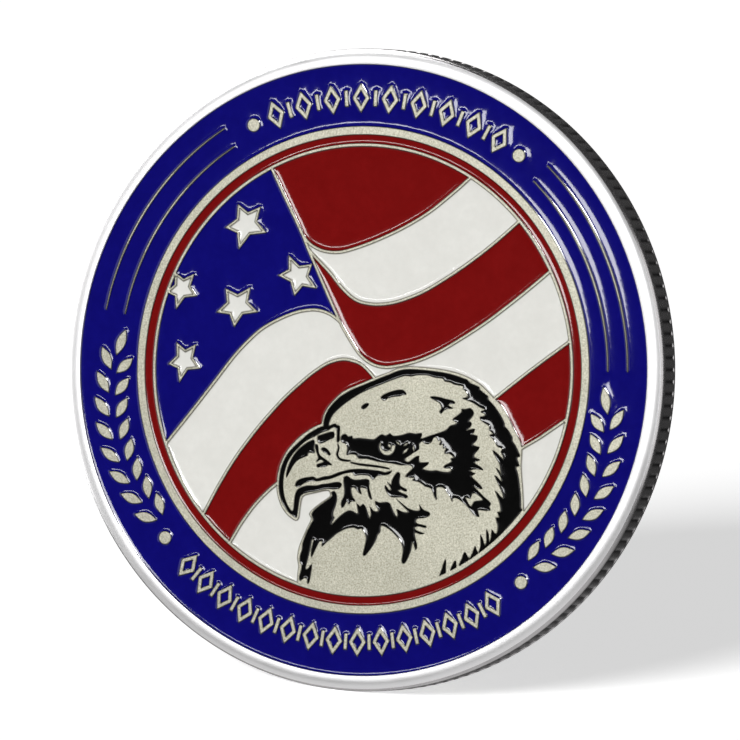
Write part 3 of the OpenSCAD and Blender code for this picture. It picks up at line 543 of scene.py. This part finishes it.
def struck_walls(made, face):
    """The walls between the raised metal and the cells, and the floors of the cells."""
    points, faces, names = face.coarse
    for name in sorted(set(names) - {"outside", "metal"}):
        mine = faces[names == name]
        low = field_height(0) if name == "field" else FLOOR_H
        for a, b in open_edges(mine):
            if np.hypot(*points[a]) > BORDER_R - 1e-3 and np.hypot(*points[b]) > BORDER_R - 1e-3:
                continue
            corners = [
                (points[a], low), (points[b], low),
                (points[b], metal_height(0)), (points[a], metal_height(0)),
            ]
            made.face([made.point(face.place(p, h)) for p, h in reversed(corners)], RECESS)
        if name == "field":
            continue
        for f in mine:
            made.face([made.point(face.place(points[i], FLOOR_H)) for i in f], RECESS)


def rim_section():
    """Section from the foot of the rim's inner wall to the middle of the edge: (r, h, kind)."""
    section = [(BORDER_R, FLOOR_H, RIM)]
    for a in np.linspace(180, 90, 4):
        a = math.radians(a)
        section.append((
            BORDER_R + LIP_ROUND * (1 + math.cos(a)), FACE_H - LIP_ROUND * (1 - math.sin(a)), RIM
        ))
    for a in np.linspace(0, 90, 10):
        a = math.radians(a)
        section.append((
            COIN_R - EDGE_ROUND * (1 - math.sin(a)), FACE_H - EDGE_ROUND * (1 - math.cos(a)),
            EDGE if a > RIM_TURN else RIM
        ))
    land = FACE_H - EDGE_ROUND
    section += [(COIN_R, land - REED_FADE * t, EDGE) for t in (0.3, 0.65, 1)]
    section.append((COIN_R, land * 0.4, EDGE))
    section.append((COIN_R, 0.0, EDGE))
    return section


def reed_cut(angle, h):
    """How deep the reeding cuts at that angle and height."""
    land = FACE_H - EDGE_ROUND
    share = min(1.0, max(0.0, (land - abs(h)) / REED_FADE))
    share = share * share * (3 - 2 * share)
    return REED_DEPTH * share * (1 - abs(math.sin(REEDS * angle / 2)))


def rim_and_edge(made):
    """Both rims and the reeded edge as one turned band."""
    half = rim_section()
    section = half + [(r, -h, kind) for r, h, kind in reversed(half[:-1])]
    rings = []
    for r, h, kind in section:
        ring = []
        for k in range(CIRCLE_STEPS):
            a = 2 * math.pi * k / CIRCLE_STEPS
            cut = reed_cut(a, h) if kind == EDGE else 0
            p = ((r - cut) * math.cos(a) * MM, -h * MM, (r - cut) * math.sin(a) * MM)
            ring.append(made.point(p, 1 - cut / REED_DEPTH))
        rings.append(ring)
    for (_, h, _), (_, far_h, kind), near, far in zip(section, section[1:], rings, rings[1:]):
        for k in range(CIRCLE_STEPS):
            n = (k + 1) % CIRCLE_STEPS
            made.face([near[k], far[k], far[n], near[n]], kind, smooth=h != far_h)


def struck_body(faces, materials):
    """The whole struck metal as one closed piece."""
    made = Builder()
    for face in faces:
        struck_tops(made, face)
        struck_walls(made, face)
    rim_and_edge(made)
    piece = made.piece("struck_body_metal", materials, sharp=50)
    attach(piece, "root")
    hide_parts("struck_body")


# ------------------------------------------------------------------ materials


class Nodes:
    """A material's node tree, with the Principled shader already in place."""

    def __init__(self, name):
        self.material = bpy.data.materials.new(name)
        self.material.use_nodes = True
        self.tree = self.material.node_tree
        self.shader = self.tree.nodes["Principled BSDF"]
        self.where = self.add("ShaderNodeTexCoord").outputs["Object"]

    def add(self, kind, **settings):
        made = self.tree.nodes.new(kind)
        for key, value in settings.items():
            setattr(made, key, value)
        return made

    def link(self, source, target):
        self.tree.links.new(source, target)

    def noise(self, size_mm, detail=2.0, rough=0.5):
        """Noise whose features are about size_mm across."""
        made = self.add("ShaderNodeTexNoise")
        made.inputs["Scale"].default_value = 1 / (size_mm * MM)
        made.inputs["Detail"].default_value = detail
        made.inputs["Roughness"].default_value = rough
        self.link(self.where, made.inputs["Vector"])
        return made.outputs["Fac"]

    def cells(self, size_mm):
        """Distance to the nearest of scattered points about size_mm apart."""
        made = self.add("ShaderNodeTexVoronoi")
        made.inputs["Scale"].default_value = 1 / (size_mm * MM)
        self.link(self.where, made.inputs["Vector"])
        return made.outputs["Distance"]

    def depth(self):
        """Distance from the nearest struck edge, in mm."""
        return self.add("ShaderNodeAttribute", attribute_name="depth").outputs["Fac"]

    def ranged(self, source, low, high, from_low=0.0, from_high=1.0):
        made = self.add("ShaderNodeMapRange")
        for name, value in (("From Min", from_low), ("From Max", from_high),
                            ("To Min", low), ("To Max", high)):
            made.inputs[name].default_value = value
        self.link(source, made.inputs["Value"])
        return made.outputs["Result"]

    def ramp(self, source, low, high):
        """Colour from low to high."""
        made = self.add("ShaderNodeValToRGB")
        made.color_ramp.elements[0].color = (*low, 1)
        made.color_ramp.elements[1].color = (*high, 1)
        self.link(source, made.inputs["Fac"])
        return made.outputs["Color"]

    def mixed(self, share, a, b):
        made = self.add("ShaderNodeMix", data_type="RGBA")
        self.link(share, made.inputs["Factor"])
        self.link(a, made.inputs["A"])
        self.link(b, made.inputs["B"])
        return made.outputs["Result"]

    def times(self, a, b):
        made = self.add("ShaderNodeMath", operation="MULTIPLY")
        self.link(a, made.inputs[0])
        self.link(b, made.inputs[1])
        return made.outputs[0]

    def bumped(self, source, height_um, below=None):
        """A bump of that height in micrometres, on top of another bump."""
        made = self.add("ShaderNodeBump")
        made.inputs["Strength"].default_value = 1.0
        made.inputs["Distance"].default_value = height_um * 1e-6
        self.link(source, made.inputs["Height"])
        if below is not None:
            self.link(below, made.inputs["Normal"])
        return made.outputs["Normal"]

    def set(self, **values):
        for key, value in values.items():
            self.shader.inputs[key.replace("_", " ")].default_value = value

    def feed(self, socket, source):
        self.link(source, self.shader.inputs[socket])


def blasted_metal(name, dark, light):
    """Plated metal with a fine sandblasted grain, and painted shade darker along its raised edges.
    """
    n = Nodes(name)
    n.set(Metallic=1.0)
    grain = n.noise(0.11, detail=3.0, rough=0.65)
    patches = n.noise(3.5, detail=3.0)
    # Painted shade: within about 0.065 mm of each raised edge the colour goes over to a dark copy
    # of the plate.
    painted_edge_shade_share = n.ranged(n.depth(), 1.0, 0.0, 0.02, 0.065)
    body = n.ramp(n.ranged(n.times(grain, n.ranged(patches, 0.85, 1.15)), 0, 1, 0.3, 0.75),
                  dark, light)
    shade = n.ramp(patches, [0.35 * c for c in dark], [0.6 * c for c in dark])
    n.feed("Base Color", n.mixed(painted_edge_shade_share, body, shade))
    n.feed("Roughness", n.ranged(grain, 0.44, 0.58))
    n.feed("Normal", n.bumped(n.cells(0.14), 2.5, n.bumped(grain, 5.0)))
    return n.material


def rim_metal():
    """Polished plate with hairline scratches and faint clouding."""
    n = Nodes("polished_rim_plate")
    n.set(Metallic=1.0)
    cloud = n.noise(2.2, detail=4.0)
    hair = n.noise(0.25, detail=5.0, rough=0.7)
    n.feed("Base Color", n.ramp(cloud, (0.83, 0.825, 0.83), (0.89, 0.885, 0.89)))
    n.feed("Roughness", n.ranged(n.times(cloud, hair), 0.44, 0.52, 0.1, 0.5))
    n.feed("Normal", n.bumped(hair, 0.4, n.bumped(cloud, 1.5)))
    return n.material


def edge_metal():
    """The struck edge: plate with painted shade, darker than the rim, and near black painted shade
    in the grooves between the reeds.
    """
    n = Nodes("reeded_edge_plate")
    n.set(Metallic=1.0)
    cloud = n.noise(1.2, detail=4.0)
    hair = n.noise(0.16, detail=4.0, rough=0.7)
    # Painted shade: the edge plate is darker than the rim's same plating, and near black in the
    # grooves between the reeds.
    plate = n.ramp(cloud, (0.4, 0.385, 0.39), (0.58, 0.565, 0.57))
    groove_shade = n.ramp(cloud, (0.03, 0.028, 0.03), (0.08, 0.075, 0.08))
    n.feed("Base Color", n.mixed(n.ranged(n.depth(), 1, 0, 0.1, 0.75), plate, groove_shade))
    n.feed("Roughness", n.ranged(hair, 0.18, 0.34))
    n.feed("Normal", n.bumped(hair, 1.5))
    return n.material


def recess_metal():
    """The bare walls and floors of the cells."""
    n = Nodes("recess_plate")
    n.set(Metallic=1.0)
    grain = n.noise(0.1, detail=2.0)
    n.feed("Base Color", n.ramp(grain, (0.45, 0.44, 0.42), (0.62, 0.61, 0.58)))
    n.feed("Roughness", n.ranged(grain, 0.3, 0.5))
    n.feed("Normal", n.bumped(grain, 2.0))
    return n.material


def enamel(name, low, high, painted_wall_shade):
    """Glossy cured enamel: faint flow and pigment variation, and painted shade darker where it
    meets the raised metal.
    """
    n = Nodes(name)
    n.set(IOR=1.47)
    flow = n.noise(1.7, detail=2.0)
    pigment = n.noise(0.5, detail=5.0, rough=0.6)
    # Painted shade: within about 0.08 mm of the metal walls the colour goes over to a darker one,
    # which draws dark outlines.
    painted_wall_shade_share = n.ranged(n.depth(), 1.0, 0.0, 0.01, 0.08)
    body = n.ramp(n.ranged(n.times(flow, pigment), 0, 1, 0.1, 0.4), low, high)
    n.feed("Base Color", n.mixed(painted_wall_shade_share, body, n.ramp(flow, painted_wall_shade, painted_wall_shade)))
    n.feed("Roughness", n.ranged(pigment, 0.06, 0.1))
    n.feed("Normal", n.bumped(pigment, 0.25, n.bumped(flow, 5.0)))
    return n.material


# ------------------------------------------------------------------ stage

VIEW_YAW = math.radians(22)
DESIGN_TURN = math.radians(6.4)
CAMERA_FAR = 1.0525
CAMERA_LENS = 740
FLOOR_HALF = 6
FLOOR_GLOW = 0.61
ROOM_BELOW, ROOM_ABOVE = 0.75, 0.06


def direction(azimuth, elevation):
    """From the coin: azimuth 0 is in front of the obverse and grows towards its right."""
    a, e = math.radians(azimuth), math.radians(elevation)
    return Vector((math.sin(a) * math.cos(e), -math.cos(a) * math.cos(e), math.sin(e)))


def camera():
    """Turned so that the design leans as it does when the coin has rolled a little."""
    back = Vector((
        math.sin(VIEW_YAW) * math.cos(DESIGN_TURN),
        -math.cos(VIEW_YAW),
        math.sin(VIEW_YAW) * math.sin(DESIGN_TURN),
    ))
    up = Vector((-math.sin(DESIGN_TURN), 0, math.cos(DESIGN_TURN)))
    right = up.cross(back)
    made = bpy.data.objects.new("camera", bpy.data.cameras.new("camera"))
    made.data.lens = CAMERA_LENS
    made.data.sensor_width = 36
    made.data.clip_start, made.data.clip_end = 0.01, 100
    made.matrix_world = Matrix.Translation(back * CAMERA_FAR) @ Matrix(
        (right, up, back)
    ).transposed().to_4x4()
    bpy.context.scene.collection.objects.link(made)
    bpy.context.scene.camera = made


def placed(data, azimuth, elevation, distance, ground, state):
    """A light that faces the coin and lights only the ground, or all but the ground."""
    made = bpy.data.objects.new(data.name, data)
    way = direction(azimuth, elevation)
    made.location = way * distance
    made.rotation_euler = way.to_track_quat("Z", "Y").to_euler()
    made.visible_camera = False
    linked = bpy.data.collections.new(data.name + "_receivers")
    linked.objects.link(ground)
    linked.collection_objects[0].light_linking.link_state = state
    made.light_linking.receiver_collection = linked
    bpy.context.scene.collection.objects.link(made)


def panel(name, azimuth, elevation, distance, size, power, ground):
    """A soft panel for the coin."""
    data = bpy.data.lights.new(name, "AREA")
    data.shape, data.size, data.size_y = "RECTANGLE", *size
    data.energy = power
    placed(data, azimuth, elevation, distance, ground, "EXCLUDE")


def sun(name, azimuth, elevation, strength, spread, ground, state):
    """A distant light, for the ground alone or for the coin."""
    data = bpy.data.lights.new(name, "SUN")
    data.energy, data.angle = strength, math.radians(spread)
    placed(data, azimuth, elevation, 1, ground, state)


def floor():
    """Plain pale floor under the coin."""
    mesh = bpy.data.meshes.new("floor")
    z = -COIN_R * MM
    corners = [(x * FLOOR_HALF, y * FLOOR_HALF, z) for x, y in ((-1, -1), (1, -1), (1, 1), (-1, 1))]
    mesh.from_pydata(corners, [], [(0, 1, 2, 3)])
    n = Nodes("floor_paper")
    n.feed("Base Color", n.ramp(n.noise(40), (0.87, 0.87, 0.87), (0.9, 0.9, 0.9)))
    n.set(Roughness=0.9, Emission_Color=(1, 1, 1, 1), Emission_Strength=FLOOR_GLOW)
    mesh.materials.append(n.material)
    made = bpy.data.objects.new("floor", mesh)
    made.visible_glossy = made.visible_diffuse = False
    bpy.context.scene.collection.objects.link(made)
    return made


def world():
    """White behind the coin, and in its reflections a dim room over a pale floor."""
    made = bpy.data.worlds.new("studio")
    made.use_nodes = True
    tree = made.node_tree
    out = tree.nodes["World Output"]
    room = tree.nodes["Background"]
    room.inputs["Color"].default_value = (1, 1, 1, 1)
    toward = tree.nodes.new("ShaderNodeTexCoord")
    height = tree.nodes.new("ShaderNodeSeparateXYZ")
    glow = tree.nodes.new("ShaderNodeMapRange")
    for name, value in (("From Min", -0.7), ("From Max", -0.36),
                        ("To Min", ROOM_BELOW), ("To Max", ROOM_ABOVE)):
        glow.inputs[name].default_value = value
    tree.links.new(toward.outputs["Generated"], height.inputs[0])
    tree.links.new(height.outputs["Z"], glow.inputs["Value"])
    tree.links.new(glow.outputs["Result"], room.inputs["Strength"])
    backdrop = tree.nodes.new("ShaderNodeBackground")
    backdrop.inputs["Color"].default_value = (1, 1, 1, 1)
    backdrop.inputs["Strength"].default_value = 1.0
    seen = tree.nodes.new("ShaderNodeLightPath")
    mix = tree.nodes.new("ShaderNodeMixShader")
    tree.links.new(seen.outputs["Is Camera Ray"], mix.inputs["Fac"])
    tree.links.new(room.outputs[0], mix.inputs[1])
    tree.links.new(backdrop.outputs[0], mix.inputs[2])
    tree.links.new(mix.outputs[0], out.inputs["Surface"])
    bpy.context.scene.world = made


def lights(ground):
    """Panels round the direction that the flat faces mirror, which itself stays dark."""
    panel("near_panel", -6, 8, 0.2, (0.05, 0.035), 0.084, ground)
    panel("upper_strip", -23, 10, 0.4, (0.1, 0.012), 0.08, ground)
    panel("right_softbox", 28, 10, 0.35, (0.3, 0.19), 0.16, ground)
    panel("left_softbox", -72, 0, 0.3, (0.36, 0.25), 0.26, ground)
    panel("top_softbox", 10, 62, 0.7, (0.5, 0.35), 0.4, ground)
    panel("back_softbox", 246, 42, 0.8, (0.7, 0.7), 10.0, ground)
    panel("side_softbox", 88, 8, 0.35, (0.25, 0.4), 0.4, ground)
    panel("back_panel", 246, 4, 0.4, (0.3, 0.3), 1.0, ground)
    sun("low_key", 5, 20, 1.5, 7, ground, "EXCLUDE")
    sun("floor_sun", 14, 6.5, 12, 5, ground, "INCLUDE")


# ------------------------------------------------------------------ the coin

bpy.context.scene.view_settings.view_transform = "Standard"
camera()
lights(floor())
world()

fills = {
    "blue_enamel": enamel("blue_cured_enamel", (0.002, 0.001, 0.13), (0.003, 0.002, 0.155),
                          (0.001, 0.001, 0.035)),
    "red_enamel": enamel("red_cured_enamel", (0.155, 0.002, 0.002), (0.18, 0.003, 0.003),
                         (0.05, 0.001, 0.001)),
    "white_enamel": enamel("white_cured_enamel", (0.69, 0.685, 0.645), (0.74, 0.735, 0.695),
                           (0.28, 0.27, 0.24)),
    "black_enamel": enamel("black_cured_enamel", (0.001, 0.001, 0.001), (0.002, 0.002, 0.002),
                           (0.001, 0.001, 0.001)),
}
metals = [
    blasted_metal("blasted_plate", (0.30, 0.29, 0.225), (0.68, 0.665, 0.56)),
    rim_metal(),
    edge_metal(),
    recess_metal(),
]

# The sunk field of the reverse is the body's floor there, without the star's own cell.
star_area = max(abs(area(loop)) for loop in smooth_loops("reverse_star_enamel", REVERSE, ENAMEL_H))
field_loops = [
    smoothed(loop) for loop in flat_loops("struck_body", REVERSE, FLOOR_H)
    if np.linalg.norm(loop, axis=1).max() < FIELD_R and abs(area(loop) - star_area) > 0.5
]
obverse = Face(OBVERSE, OBVERSE_NODES, CELL_ROWS)
reverse = Face(REVERSE, REVERSE_NODES, REVERSE_ROWS, field_loops)
struck_body([obverse, reverse], metals)
for slot, nodes in FILL_SLOTS.items():
    for node in nodes:
        enamel_fill(reverse if node.startswith("reverse") else obverse, node, fills[slot])
